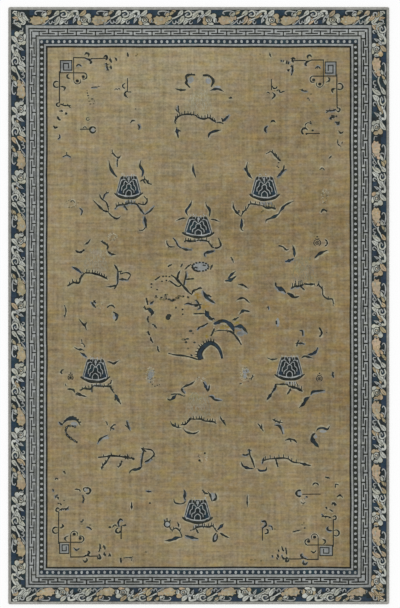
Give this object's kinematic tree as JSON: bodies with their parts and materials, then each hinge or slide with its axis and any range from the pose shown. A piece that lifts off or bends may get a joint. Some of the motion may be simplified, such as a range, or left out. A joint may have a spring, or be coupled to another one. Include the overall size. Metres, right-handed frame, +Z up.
{
  "type": "hand-knotted rug",
  "caption": "Flat rectangular hand-knotted wool rug: worn gold field with small blue sprays, fret corners, and pearl, key-fret and leafy scroll borders.",
  "frame": {"origin": "middle of the underside, on the floor that the rug lies on", "axes": "+Y along the rug's length towards the end that is at the top of the picture, +X across its width, +Z up out of the pile"},
  "size_m": [2.74, 4.296, 0.008],
  "materials": {
    "wool_pile": "worn hand-knotted wool pile, matt, gold field with navy, pale blue, ivory and apricot pattern"
  },
  "bodies": {
    "root": {"rug": "wool_pile"}
  },
  "joints": []
}
